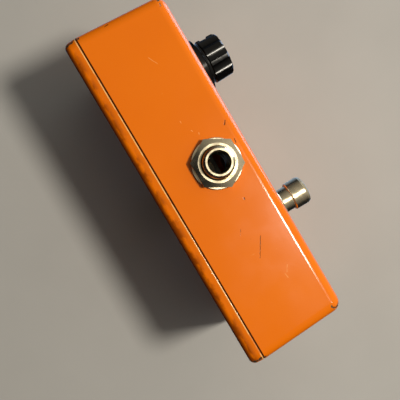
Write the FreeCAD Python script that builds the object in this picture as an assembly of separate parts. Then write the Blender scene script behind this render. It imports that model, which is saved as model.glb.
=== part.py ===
"""Guitar effects pedal: a one-knob stomp box in a die-cast case, with its working parts inside.

Millimetres. The pedal stands on its bottom cover: +Z is up, out of the control face; +Y points to the
knob end, away from the player; +X is the input side. The origin is the middle of the cover's outer face.
Every sub-part is written to parts/NODE.step.
"""

import FreeCAD
import Part

import math
import os

V = FreeCAD.Vector

# ---------------------------------------------------------------- driving dimensions

# case
case_length = 112.4  # Y, at the open rim
case_width = 60.5  # X, at the open rim
case_height = 33.5  # cover included
draft_angle = 2.1  # degrees, on all four sides
side_wall = 2.0
top_wall = 2.2
corner_radius = 3.6
top_edge_radius = 3.4
inner_edge_radius = 1.2
seam_edge_radius = 0.35

# bottom cover and its screws
cover_edge = 4.2  # height of the cover's visible edge
cover_floor = 2.0
cover_edge_radius = 2.0
cover_side_lean = 0.3  # how far each side leans in, from the seam to the outer face
cover_rib = 3.9  # width of the full-height band round the edge
lip_height = 1.8
lip_thickness = 1.3
lip_clearance = 0.25
screw_inset = 5.4  # screw axis from the case's rim
screw_radius = 1.75
screw_clearance = 0.25
screw_head_radius = 3.3
screw_head_edge = 0.25
screw_sunk = 0.1
screw_length = 12.7
boss_radius = 3.4
pad_margin = 0.3  # how much wider the cover's screw pads are than the bosses
thread_clearance = 0.05
sheet_thickness = 0.6

# places of the controls and sockets
pot_y = 34.6
jack_y = 2.6
jack_z = 21.6

# shared
running_clearance = 0.05
hole_clearance = 0.15
thread_pitch = 0.8
lock_washer_thickness = 0.6

# potentiometer
pot_thread_radius = 4.76
pot_thread_height = 5.8  # above the case
pot_shaft_radius = 3.175
pot_shaft_height = 11.0  # above the case
pot_plate_thickness = 1.2
pot_can_radius = 12.0
pot_can_height = 8.0
pot_can_wall = 0.6
pot_wafer_thickness = 1.2
pot_track_thickness = 0.15
pot_nut_flats = 12.7
pot_nut_height = 2.0
pot_washer_radius = 7.4
pot_washer_thickness = 0.5
pot_turn = 147.5  # degrees each way
finger_half_angle = 5.1  # the rotor's stop finger, seen from the axis
stop_clearance = 0.4  # degrees left between finger and stop at the end of the turn

# knob
knob_gap = 0.8  # between the case and the skirt
knob_height = 12.5
knob_skirt_radius = 9.4
knob_skirt_edge = 3.8
knob_neck_radius = 7.4
knob_neck_height = 5.3
knob_body_radius = 7.9
knob_top_radius = 7.7
knob_flutes = 10
knob_flute_radius = 3.4
knob_flute_depth = 0.75
knob_recess_radius = 8.0
knob_recess_depth = 3.2
knob_insert_radius = 4.8
knob_insert_length = 5.2
index_width = 1.1
index_depth = 0.35
set_screw_radius = 1.5

# footswitch
fs_thread_radius = 6.0
fs_thread_height = 4.2  # above the case
fs_stem_radius = 4.25
fs_stem_height = 8.0  # top of the bare stem above the case
fs_cap_radius = 5.0
fs_cap_height = 6.1
fs_cap_edge = 1.2
fs_travel = 3.5
fs_nut_flats = 15.0
fs_nut_height = 2.4
fs_washer_radius = 8.6
fs_washer_thickness = 0.8
fs_lower_nut_height = 2.2
fs_nut_gap = 1.4  # bare thread between the lower nut and the frame
fs_body_width = 22.0  # X
fs_body_depth = 12.8  # Y
fs_body_height = 12.0
fs_frame_thickness = 1.0
fs_ear_thickness = 0.8
fs_spring_wire = 0.4  # radius
fs_terminal_length = 5.2

# quarter-inch jacks
jack_thread_radius = 4.76
jack_bore_radius = 3.25
jack_mouth_radius = 3.55
jack_mouth_depth = 0.8
jack_reach = 6.2  # bushing mouth beyond the case wall
jack_nut_flats = 14.3
jack_nut_height = 2.4
jack_nut_rim = 6.0  # radius of the flat ring its bevel leaves
jack_washer_radius = 7.9
jack_washer_thickness = 0.8
jack_plate_margin = 2.04  # how far the square plate reaches beyond the thread on each side
jack_stake = 0.5  # how much wider than the thread the bushing is staked over
jack_plate_thickness = 1.2
jack_arm_thickness = 0.8
jack_arm_length = 8.5
jack_wafer_thickness = 0.8
jack_leaf_thickness = 0.4
jack_leaf_width = 4.4
jack_leaf_gap = 0.05  # between a clamped terminal and its moving leaf

# circuit board and its components
board_thickness = 1.6
board_width = 52.0
board_depth = 32.0
board_y = 31.0
board_gap = 1.5  # foam between the pot's can and the board

# battery and its snap
battery_length = 46.2  # X, without its terminals
battery_width = 25.9  # Z
battery_thickness = 17.0  # Y
battery_x = -1.9
battery_end_gap = 1.8  # from the screw bosses at the player's end
battery_clearance = 0.4  # from the cover's insulation sheet, and from the footswitch's nut
battery_stud_pitch = 12.7
snap_thickness = 2.6
snap_half_width = 6.2
snap_half_length = 12.4

# wires
wire_radius = 0.6
battery_wire_radius = 0.7

# ---------------------------------------------------------------- derived sizes

lean = math.tan(math.radians(draft_angle))
rim_z = cover_edge
top_z = case_height
ceiling_z = top_z - top_wall
screw_x = case_width / 2 - screw_inset
screw_y = case_length / 2 - screw_inset
sheet_top_z = cover_floor + sheet_thickness
pot_plate_top = ceiling_z - lock_washer_thickness
pot_plate_bottom = pot_plate_top - pot_plate_thickness
pot_wafer_bottom = pot_plate_bottom - pot_wafer_thickness
pot_can_bottom = pot_plate_bottom - pot_can_height
board_top_z = pot_can_bottom - board_gap
board_under_z = board_top_z - board_thickness
fs_frame_top = ceiling_z - lock_washer_thickness - fs_lower_nut_height - fs_nut_gap
fs_body_top = fs_frame_top - fs_frame_thickness
fs_body_bottom = fs_body_top - fs_body_height
jack_plate_half = jack_thread_radius + jack_plate_margin
battery_y = boss_radius - screw_y + battery_end_gap + battery_thickness / 2
footswitch_y = battery_y + battery_thickness / 2 + battery_clearance + fs_nut_flats / 2
corners = [(sx, sy) for sx in (-1, 1) for sy in (-1, 1)]


# ---------------------------------------------------------------- shape helpers

def cylinder(radius, z0, z1, x=0.0, y=0.0):
    """Upright cylinder from z0 to z1."""
    return Part.makeCylinder(radius, z1 - z0, V(x, y, z0))


def block(x0, x1, y0, y1, z0, z1):
    """Box between two corners."""
    return Part.makeBox(x1 - x0, y1 - y0, z1 - z0, V(x0, y0, z0))


def face_of(points):
    """Flat face bounded by straight edges through the points."""
    return Part.Face(Part.makePolygon([V(*p) for p in points] + [V(*points[0])]))


def turned(profile, x=0.0, y=0.0):
    """Solid of revolution about an upright axis, from (radius, z) points."""
    face = face_of([(r, 0, z) for r, z in profile])
    solid = face.revolve(V(0, 0, 0), V(0, 0, 1), 360)
    solid.translate(V(x, y, 0))
    return solid


def rounded_outline(width, length, radius, z):
    """Closed wire of a rectangle with round corners, centred on the Z axis."""
    hx, hy = width / 2 - radius, length / 2 - radius
    centres = [(hx, hy, 0), (-hx, hy, 90), (-hx, -hy, 180), (hx, -hy, 270)]
    arcs = []
    for cx, cy, start in centres:
        circle = Part.Circle(V(cx, cy, z), V(0, 0, 1), radius)
        arcs.append(circle.toShape(math.radians(start), math.radians(start + 90)))
    edges = []
    for arc, following in zip(arcs, arcs[1:] + arcs[:1]):
        edges.append(arc)
        edges.append(Part.LineSegment(arc.Vertexes[-1].Point, following.Vertexes[0].Point).toShape())
    return Part.Wire(edges)


def rounded_block(width, length, radius, z0, z1, top_inset=0.0):
    """Block with round corners; top_inset is how much smaller each side is at z1."""
    lower = rounded_outline(width, length, radius, z0)
    upper = rounded_outline(width - 2 * top_inset, length - 2 * top_inset, radius, z1)
    return Part.makeLoft([lower, upper], True, True)


def case_block(inset, radius, z0, z1):
    """The case's drafted outline, moved in by inset, between two heights."""
    grow = 2 * lean * (z0 - rim_z)
    width = case_width - 2 * inset - grow
    length = case_length - 2 * inset - grow
    return rounded_block(width, length, radius, z0, z1, lean * (z1 - z0))


def fillet_at(solid, z, radius):
    """Rounds every edge that lies flat at height z."""
    flat = [e for e in solid.Edges if all(abs(v.Z - z) < 1e-4 for v in e.Vertexes)]
    return solid.makeFillet(radius, flat)


def fuse_all(shapes):
    """One solid from several that touch or overlap."""
    return shapes[0].fuse(shapes[1:]).removeSplitter() if len(shapes) > 1 else shapes[0]


def cut_all(shape, tools):
    """The shape with every tool taken out of it."""
    return shape.cut(tools) if tools else shape


def thread(radius, z0, z1, bore, x=0.0, y=0.0, end_chamfer=0.5):
    """Tube whose outside carries thread_pitch grooves, with a chamfer at its upper end."""
    depth = 0.35 * thread_pitch
    grooved = z1 - end_chamfer - z0
    turns = max(1, int(grooved / thread_pitch))
    step = grooved / turns
    profile = [(bore, z0)]
    for i in range(turns):
        profile += [(radius, z0 + i * step), (radius - depth, z0 + (i + 0.5) * step)]
    profile += [(radius, z1 - end_chamfer), (radius - end_chamfer, z1), (bore, z1)]
    return turned(profile, x, y)


def hexagon(flats, z0, z1, x=0.0, y=0.0, turn=0.0):
    """Upright hexagonal prism; turn is the angle of its first corner."""
    reach = flats / math.sqrt(3)
    points = []
    for i in range(6):
        angle = math.radians(turn + 60 * i)
        points.append((x + reach * math.cos(angle), y + reach * math.sin(angle), z0))
    return face_of(points).extrude(V(0, 0, z1 - z0))


def hex_nut(flats, bore, z0, z1, x=0.0, y=0.0, turn=0.0, rim=None):
    """Hexagonal nut, its upper face bevelled outside the rim radius and its bore chamfered."""
    prism = hexagon(flats, z0, z1, x, y, turn)
    reach = flats / math.sqrt(3)
    rim = rim or 0.93 * flats / 2
    fall = 0.45 * (reach - rim)
    turned_down = turned([(0, z0), (reach + 0.1, z0), (reach + 0.1, z1 - fall), (rim, z1), (0, z1)], x, y)
    relief = 0.5
    profile = [(0, z0 - 1), (bore, z0 - 1), (bore, z1 - relief)]
    profile += [(bore + relief, z1), (bore + relief, z1 + 1), (0, z1 + 1)]
    hole = turned(profile, x, y)
    return prism.common(turned_down).cut(hole)


def washer(radius, bore, z0, z1, x=0.0, y=0.0):
    """Flat washer with its upper edge broken."""
    edge = 0.2
    profile = [(bore, z0), (radius, z0), (radius, z1 - edge), (radius - edge, z1), (bore, z1)]
    return turned(profile, x, y)


def toothed_washer(radius, bore, z0, z1, x=0.0, y=0.0, teeth=12):
    """Lock washer whose inner edge is cut into teeth."""
    ring = cylinder(radius, z0, z1, x, y).cut(cylinder(bore, z0, z1, x, y))
    slot_width = 0.9
    slots = []
    for i in range(teeth):
        slot = block(bore - 1, bore + 0.45 * (radius - bore), -slot_width / 2, slot_width / 2, z0, z1)
        slot.rotate(V(0, 0, 0), V(0, 0, 1), 360 / teeth * (i + 0.5))
        slot.translate(V(x, y, 0))
        slots.append(slot)
    return cut_all(ring, slots)


def round_path(points):
    """Wire of straight runs joined by tangent arcs, each as large as its two runs allow."""
    nodes = [V(*p) for p in points]
    cuts = []
    for before, at, after in zip(nodes, nodes[1:], nodes[2:]):
        back, ahead = (before - at), (after - at)
        half_turn = (math.pi - back.getAngle(ahead)) / 2
        trim = 0.45 * min(back.Length, ahead.Length)
        back.normalize()
        ahead.normalize()
        radius = trim / math.tan(half_turn)
        bisector = back + ahead
        bisector.normalize()
        centre = at + bisector * (radius / math.cos(half_turn))
        cuts.append((at + back * trim, centre - bisector * radius, at + ahead * trim))
    edges, here = [], nodes[0]
    for start, middle, end in cuts:
        edges.append(Part.LineSegment(here, start).toShape())
        edges.append(Part.Arc(start, middle, end).toShape())
        here = end
    edges.append(Part.LineSegment(here, nodes[-1]).toShape())
    return Part.Wire(edges)


def wire_along(points, radius):
    """Round wire that follows the points."""
    path = round_path(points)
    ahead = V(*points[1]) - V(*points[0])
    ring = Part.Wire(Part.Circle(V(*points[0]), ahead, radius).toShape())
    return path.makePipeShell([ring], True, False)


def write(node, shapes):
    """Writes one node's solids to its STEP file."""
    solids = [s for shape in shapes for s in shape.Solids]
    assert solids and all(s.isValid() and s.Volume > 0 for s in solids), node
    shape = solids[0] if len(solids) == 1 else Part.makeCompound(solids)
    shape.exportStep(f"parts/{node}.step")


# ---------------------------------------------------------------- case, cover and screws

def jack_frame_of(side):
    """Placement of a jack: local origin on the case's outer wall, local +Z out of the socket."""
    outward = V(side * math.cos(math.radians(draft_angle)), 0, math.sin(math.radians(draft_angle)))
    up = V(-side * math.sin(math.radians(draft_angle)), 0, math.cos(math.radians(draft_angle)))
    across = outward.cross(up)
    base = V(side * (case_width / 2 - lean * (jack_z - rim_z)), jack_y, jack_z)
    matrix = FreeCAD.Matrix(
        up.x, across.x, outward.x, base.x,
        up.y, across.y, outward.y, base.y,
        up.z, across.z, outward.z, base.z,
        0, 0, 0, 1,
    )  # fmt: skip
    return FreeCAD.Placement(matrix)


def at_jack(shape, side):
    """A shape built in a jack's local frame, moved to its side of the case."""
    moved = shape.copy()
    moved.Placement = jack_frame_of(side).multiply(moved.Placement)
    return moved


def on_outer_rim(edge):
    """Whether an edge of the case belongs to the outline of its open side."""
    box = edge.BoundBox
    reach_x = max(box.XMax, -box.XMin) - case_width / 2
    reach_y = max(box.YMax, -box.YMin) - case_length / 2
    return abs(box.ZMin - rim_z) < 1e-3 and abs(box.ZMax - rim_z) < 1e-3 and max(reach_x, reach_y) > -1e-3


def sections_of(shell):
    """One casting as abutting solids (roof, corners, walls), so that collision follows its thin walls."""
    far = case_length
    roof = block(-far, far, -far, far, ceiling_z, top_z + 1)
    x, y = screw_x - boss_radius, screw_y - boss_radius
    spans = [((sx * x, sx * far), (sy * y, sy * far)) for sx, sy in corners]
    spans += [((side * x, side * far), (-y, y)) for side in (-1, 1)]
    spans += [((-x, x), (side * y, side * far)) for side in (-1, 1)]
    sections = [shell.common(roof)]
    for xs, ys in spans:
        sections.append(shell.common(block(min(xs), max(xs), min(ys), max(ys), 0, ceiling_z)))
    return sections


def make_enclosure():
    """Die-cast shell: open at the bottom, with a tapped boss in each corner."""
    outer = fillet_at(case_block(0, corner_radius, rim_z, top_z), top_z, top_edge_radius)
    cavity = case_block(side_wall, corner_radius - side_wall / 2, rim_z - 1, ceiling_z)
    cavity = fillet_at(cavity, ceiling_z, inner_edge_radius)
    bosses = []
    for sx, sy in corners:
        x, y = sx * screw_x, sy * screw_y
        post = cylinder(boss_radius, rim_z, ceiling_z + top_wall / 2, x, y)
        # a web joins the post to the corner of the case
        web = block(0, 2 * screw_inset, -boss_radius, boss_radius, rim_z, ceiling_z + top_wall / 2)
        web.rotate(V(0, 0, 0), V(0, 0, 1), math.degrees(math.atan2(sy, sx)))
        web.translate(V(x, y, 0))
        bosses.append(post.fuse(web).common(outer))
    shell = fuse_all([outer.cut(cavity)] + bosses)
    tapped = screw_radius + thread_clearance
    holes = [cylinder(tapped, rim_z - 1, screw_length + 1, sx * screw_x, sy * screw_y) for sx, sy in corners]
    holes.append(cylinder(pot_thread_radius + hole_clearance, ceiling_z - 1, top_z + 1, 0, pot_y))
    holes.append(cylinder(fs_thread_radius + hole_clearance, ceiling_z - 1, top_z + 1, 0, footswitch_y))
    for side in (-1, 1):
        hole = cylinder(jack_thread_radius + hole_clearance, -2 * side_wall, 2 * side_wall)
        holes.append(at_jack(hole, side))
    shell = cut_all(shell, holes)
    return sections_of(shell.makeFillet(seam_edge_radius, [e for e in shell.Edges if on_outer_rim(e)]))


def make_bottom_cover():
    """Cast cover: a tray with a locating lip and four countersunk holes."""
    plate = rounded_block(
        case_width - 2 * cover_side_lean,
        case_length - 2 * cover_side_lean,
        corner_radius,
        0,
        cover_edge,
        -cover_side_lean,
    )
    plate = fillet_at(plate, 0, cover_edge_radius)
    plate = fillet_at(plate, cover_edge, seam_edge_radius)
    pocket = rounded_block(
        case_width - 2 * cover_rib,
        case_length - 2 * cover_rib,
        corner_radius,
        cover_floor,
        cover_edge + 1,
    )
    pad_radius = boss_radius + pad_margin
    pads = [cylinder(pad_radius, 0, cover_edge, sx * screw_x, sy * screw_y) for sx, sy in corners]
    inset = side_wall + lip_clearance
    lip = case_block(inset, corner_radius - side_wall / 2, cover_edge, cover_edge + lip_height)
    hollow = rounded_block(
        case_width - 2 * (inset + lip_thickness),
        case_length - 2 * (inset + lip_thickness),
        corner_radius - side_wall,
        cover_edge - 1,
        cover_edge + lip_height + 1,
    )
    reliefs = []
    for sx, sy in corners:
        corner = block(0, 3 * screw_inset, 0, 3 * screw_inset, cover_edge, cover_edge + lip_height + 1)
        corner.rotate(V(0, 0, 0), V(0, 0, 1), {(1, 1): 0, (-1, 1): 90, (-1, -1): 180, (1, -1): 270}[sx, sy])
        back = boss_radius + lip_clearance
        corner.translate(V(sx * (screw_x - back), sy * (screw_y - back), 0))
        reliefs.append(corner)
    lip = cut_all(lip.cut(hollow), reliefs)
    cover = fuse_all([plate.cut(cut_all(pocket, pads)), lip])
    bore = screw_radius + screw_clearance
    sink = screw_head_radius + 0.1
    cone = screw_sunk + screw_head_edge - 0.1
    holes = []
    for sx, sy in corners:
        profile = [(0, -1), (sink, -1), (sink, cone), (bore, cone + sink - bore), (bore, 9), (0, 9)]
        holes.append(turned(profile, sx * screw_x, sy * screw_y))
    return cut_all(cover, holes)


def make_cover_screw(x, y):
    """Countersunk cross-recess screw, head down, flush with the cover."""
    head = screw_head_radius
    taper = head - screw_radius
    sunk = screw_sunk
    cone = sunk + screw_head_edge
    profile = [(0, sunk), (head, sunk), (head, cone), (screw_radius, cone + taper)]
    profile += [(screw_radius, screw_length - 0.6), (screw_radius - 0.6, screw_length), (0, screw_length)]
    screw = turned(profile)
    arm, reach, depth = 0.55, 2.0, 1.3
    recess = []
    for turn in (0, 90):
        face = face_of([(-reach, 0, 0), (reach, 0, 0), (0.6, 0, depth), (-0.6, 0, depth)])
        blade = face.extrude(V(0, 2 * arm, 0))
        blade.translate(V(0, -arm, sunk))
        blade.rotate(V(0, 0, 0), V(0, 0, 1), turn + 20)
        recess.append(blade)
    screw = cut_all(screw, recess)
    screw.translate(V(x, y, 0))
    return screw


def build_case():
    write("enclosure", make_enclosure())
    write("bottom_cover", [make_bottom_cover()])
    write("cover_screws", [make_cover_screw(sx * screw_x, sy * screw_y) for sx, sy in corners])
    gap = 0.5
    sheet = rounded_block(
        case_width - 2 * (cover_rib + gap),
        case_length - 2 * (cover_rib + gap),
        corner_radius,
        cover_floor,
        sheet_top_z,
    )
    clear = [
        cylinder(boss_radius + pad_margin + gap, cover_floor - 1, sheet_top_z + 1, sx * screw_x, sy * screw_y)
        for sx, sy in corners
    ]
    write("insulation_sheet", [cut_all(sheet, clear)])


# ---------------------------------------------------------------- potentiometer and knob

def build_potentiometer():
    y = pot_y
    bore = pot_shaft_radius + running_clearance
    plate_radius = pot_can_radius - pot_can_wall - running_clearance
    # plate and threaded bushing
    plate = cylinder(plate_radius, pot_plate_bottom, pot_plate_top, 0, y)
    bushing = thread(pot_thread_radius, pot_plate_top, top_z + pot_thread_height, bore, 0, y)
    shoulder_hole = cylinder(bore, pot_plate_bottom - 1, pot_plate_top + 1, 0, y)
    write("pot_bushing", [fuse_all([plate.cut(shoulder_hole), bushing])])

    # can, with four tabs folded over the plate and an inward stop
    can = cylinder(pot_can_radius, pot_can_bottom, pot_plate_bottom, 0, y)
    floor = pot_can_bottom + pot_can_wall
    inside = cylinder(pot_can_radius - pot_can_wall, floor, pot_plate_bottom, 0, y)
    can = can.cut(inside)
    can = fillet_at(can, pot_can_bottom, 0.5)
    tab_width, fold, fold_reach = 3.2, 0.4, 1.6
    tabs = []
    for angle in (30, 150, 210, 330):
        half, fold_top = tab_width / 2, pot_plate_top + fold
        tab = block(pot_can_radius - fold_reach, pot_can_radius, -half, half, pot_plate_top, fold_top)
        post_foot = pot_plate_bottom - 1
        post = block(pot_can_radius - pot_can_wall, pot_can_radius, -half, half, post_foot, fold_top)
        ring = cylinder(pot_can_radius, pot_plate_bottom - 1, fold_top)
        hollow = cylinder(pot_can_radius - pot_can_wall, pot_plate_bottom - 1, pot_plate_top)
        tab = tab.fuse(post).common(ring).cut(hollow)
        tab.rotate(V(0, 0, 0), V(0, 0, 1), angle)
        tab.translate(V(0, y, 0))
        tabs.append(tab)
    stop_sweep = 2 * (180 - pot_turn - finger_half_angle - stop_clearance)
    stop_height = pot_wafer_bottom - 1 - floor
    stop = Part.makeCylinder(pot_can_radius - 0.3, stop_height, V(0, 0, floor), V(0, 0, 1), stop_sweep)
    stop = stop.cut(cylinder(10.2, floor - 1, pot_wafer_bottom))
    stop.rotate(V(0, 0, 0), V(0, 0, 1), 270 - stop_sweep / 2)
    stop.translate(V(0, y, 0))
    slot = block(-8.2, 8.2, y - pot_can_radius - 1, y - 6, pot_wafer_bottom - 1, pot_plate_bottom + 1)
    write("pot_can", [fuse_all([can.cut(slot), stop] + tabs)])

    # phenolic wafer with a tongue through the can's slot, and its carbon track
    wafer = cylinder(plate_radius - 0.2, pot_wafer_bottom, pot_plate_bottom, 0, y)
    tongue = block(-8, 8, y - pot_can_radius - 2.6, y, pot_wafer_bottom, pot_plate_bottom)
    hole = cylinder(pot_shaft_radius + 1.4, pot_wafer_bottom - 1, pot_plate_bottom + 1, 0, y)
    write("pot_wafer", [wafer.fuse(tongue).removeSplitter().cut(hole)])
    sweep = 2 * pot_turn + 10
    track = Part.makeCylinder(10.2, pot_track_thickness, V(0, 0, 0), V(0, 0, 1), sweep)
    track = track.cut(Part.makeCylinder(8.2, 1, V(0, 0, -0.1)))
    track.rotate(V(0, 0, 0), V(0, 0, 1), 90 - sweep / 2)
    track.translate(V(0, y, pot_wafer_bottom - pot_track_thickness))
    write("pot_track", [track])

    # three terminals bent down into the circuit board
    pitch, thickness, width = 5.0, 0.5, 1.6
    pin_y = y - pot_can_radius - 1.6
    terminals = []
    for i in (-1, 0, 1):
        x = i * pitch
        foot_low = pot_wafer_bottom - thickness
        foot = block(x - width / 2, x + width / 2, pin_y - thickness, pin_y + 3, foot_low, pot_wafer_bottom)
        pin_half = 0.45
        leg_low = board_under_z - 0.6
        leg = block(x - pin_half, x + pin_half, pin_y - thickness, pin_y, leg_low, pot_wafer_bottom)
        terminals.append(foot.fuse(leg).removeSplitter())
    write("pot_terminals", terminals)

    # turning parts
    rotor_top = pot_wafer_bottom - pot_track_thickness - 0.6
    rotor = turned(
        [
            (pot_shaft_radius, rotor_top - 2.2),
            (7.4, rotor_top - 2.2),
            (7.4, rotor_top - 0.9),
            (9.4, rotor_top - 0.9),
            (9.4, rotor_top),
            (pot_shaft_radius, rotor_top),
        ],
        0,
        y,
    )
    finger = block(-0.9, 0.9, y + 9.0, y + pot_can_radius - pot_can_wall - 0.4, rotor_top - 2.4, rotor_top)
    assert math.degrees(math.atan(0.9 / 10.2)) < finger_half_angle
    write("pot_rotor", [fuse_all([rotor, finger])])
    touch = 0.05
    ring_top = rotor_top + 0.2
    finger_top = pot_wafer_bottom - pot_track_thickness - touch
    wiper_ring = cylinder(7.2, rotor_top, ring_top, 0, y).cut(cylinder(4.9, rotor_top, ring_top, 0, y))
    fingers = []
    for x in (-1.2, 0.6):
        fingers.append(block(x, x + 0.6, y + 6.8, y + 9.6, rotor_top, ring_top))
        fingers.append(block(x, x + 0.6, y + 9.2, y + 9.6, rotor_top, finger_top))
    write("pot_wiper", [fuse_all([wiper_ring] + fingers)])
    shaft = turned(
        [
            (0, floor + 0.3),
            (pot_shaft_radius, floor + 0.3),
            (pot_shaft_radius, rotor_top),
            (pot_shaft_radius + 1.0, rotor_top),
            (pot_shaft_radius + 1.0, pot_plate_bottom - running_clearance),
            (pot_shaft_radius, pot_plate_bottom - running_clearance),
            (pot_shaft_radius, top_z + pot_shaft_height - 0.5),
            (pot_shaft_radius - 0.5, top_z + pot_shaft_height),
            (0, top_z + pot_shaft_height),
        ],
        0,
        y,
    )
    write("pot_shaft", [shaft])

    # fasteners
    nut_bore = pot_thread_radius + running_clearance
    base = top_z + pot_washer_thickness
    write("pot_nut", [hex_nut(pot_nut_flats, nut_bore, base, base + pot_nut_height, 0, y)])
    write("pot_washer", [washer(pot_washer_radius, nut_bore, top_z, base, 0, y)])
    write("pot_lock_washer", [toothed_washer(7.6, nut_bore, pot_plate_top, ceiling_z, 0, y)])


def build_knob():
    y, z = pot_y, top_z + knob_gap
    top = z + knob_height
    insert_bottom = top - 1.4 - knob_insert_length
    shaft_bore = pot_shaft_radius + 0.03

    # outside: skirt, hollowed neck, body
    outline = [
        (knob_skirt_radius - 0.3, z),
        (knob_skirt_radius, z + 0.3),
        (knob_skirt_radius, z + knob_skirt_edge),
    ]
    slope_start = z + knob_skirt_edge
    steps = 5
    for i in range(1, steps + 1):  # concave flare from the skirt's edge up to the neck
        angle = math.radians(90 * i / steps)
        r = knob_skirt_radius - (knob_skirt_radius - knob_neck_radius) * math.sin(angle)
        h = slope_start + (knob_neck_height - knob_skirt_edge) * (1 - math.cos(angle))
        outline.append((r, h))
    outline += [
        (knob_body_radius, z + knob_neck_height + 0.4),
        (knob_top_radius, top - 0.5),
        (knob_top_radius - 0.5, top),
        (0, top),
        (0, z),
    ]
    body = turned(outline)
    flutes = []
    for i in range(knob_flutes):
        angle = math.radians(360 / knob_flutes * i)
        reach = knob_body_radius - knob_flute_depth + knob_flute_radius
        low = z + knob_neck_height + 0.4
        foot = reach * math.cos(angle), reach * math.sin(angle)
        fall = knob_body_radius - knob_top_radius
        tilt = V(-fall * math.cos(angle), -fall * math.sin(angle), top - low)
        flute = Part.makeCylinder(knob_flute_radius, 1.2 * (top - low), V(foot[0], foot[1], low), tilt)
        flutes.append(flute)
    body = cut_all(body, flutes)
    nut_room = turned(
        [(0, z - 1), (knob_recess_radius, z - 1), (knob_recess_radius, z + 1.6), (6.6, z + knob_recess_depth),
         (6.6, insert_bottom - 0.4), (knob_insert_radius, insert_bottom), (0, insert_bottom)]
    )  # fmt: skip
    insert_hole = cylinder(knob_insert_radius, insert_bottom - 0.1, top - 1.4)
    screw_z = insert_bottom + knob_insert_length / 2
    screw_path = Part.makeCylinder(set_screw_radius + 0.1, knob_body_radius + 3, V(0, 0, screw_z), V(0, 1, 0))
    # index line: a groove across the top and down the front flute, filled with white
    half = index_width / 2
    line_top = block(-half, half, -knob_top_radius - 1, -1.2, top - index_depth, top + 1)
    line_skirt = block(-half, half, -knob_skirt_radius - 1, -knob_skirt_radius + 0.45, z + 0.6, slope_start)
    solid_top = body.copy()
    body = cut_all(body, [nut_room, insert_hole, screw_path, line_top, line_skirt])
    index = [solid_top.common(line_top), solid_top.common(line_skirt)]

    insert = cylinder(knob_insert_radius, insert_bottom, top - 1.4)
    bore = cylinder(shaft_bore, insert_bottom - 1, top - 1.4 - 0.6)
    tapped = Part.makeCylinder(set_screw_radius + 0.02, knob_body_radius + 3, V(0, 0, screw_z), V(0, 1, 0))
    insert = cut_all(insert, [bore, tapped])
    screw_length_in = knob_top_radius - 1.2 - shaft_bore
    screw = Part.makeCylinder(set_screw_radius, screw_length_in, V(0, shaft_bore + 0.02, screw_z), V(0, 1, 0))
    slot_y = shaft_bore + screw_length_in - 0.6
    screw = screw.cut(block(-0.25, 0.25, slot_y, slot_y + 2, screw_z - 3, screw_z + 3))

    for node, shapes in (
        ("knob", [body]),
        ("knob_insert", [insert]),
        ("knob_set_screw", [screw]),
        ("knob_index_line", index),
    ):
        for shape in shapes:
            shape.translate(V(0, y, 0))
        write(node, shapes)


# ---------------------------------------------------------------- footswitch

def make_coil(mean_radius, wire, z0, z1, turns, x, y):
    """Open coil spring between two heights."""
    height = z1 - z0 - 2 * wire
    helix = Part.makeHelix(height / turns, height, mean_radius)
    ring = Part.Wire(Part.Circle(V(mean_radius, 0, 0), V(0, 1, 0), wire).toShape())
    coil = Part.Wire(helix).makePipeShell([ring], True, True)
    coil.translate(V(x, y, z0 + wire))
    return coil


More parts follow.
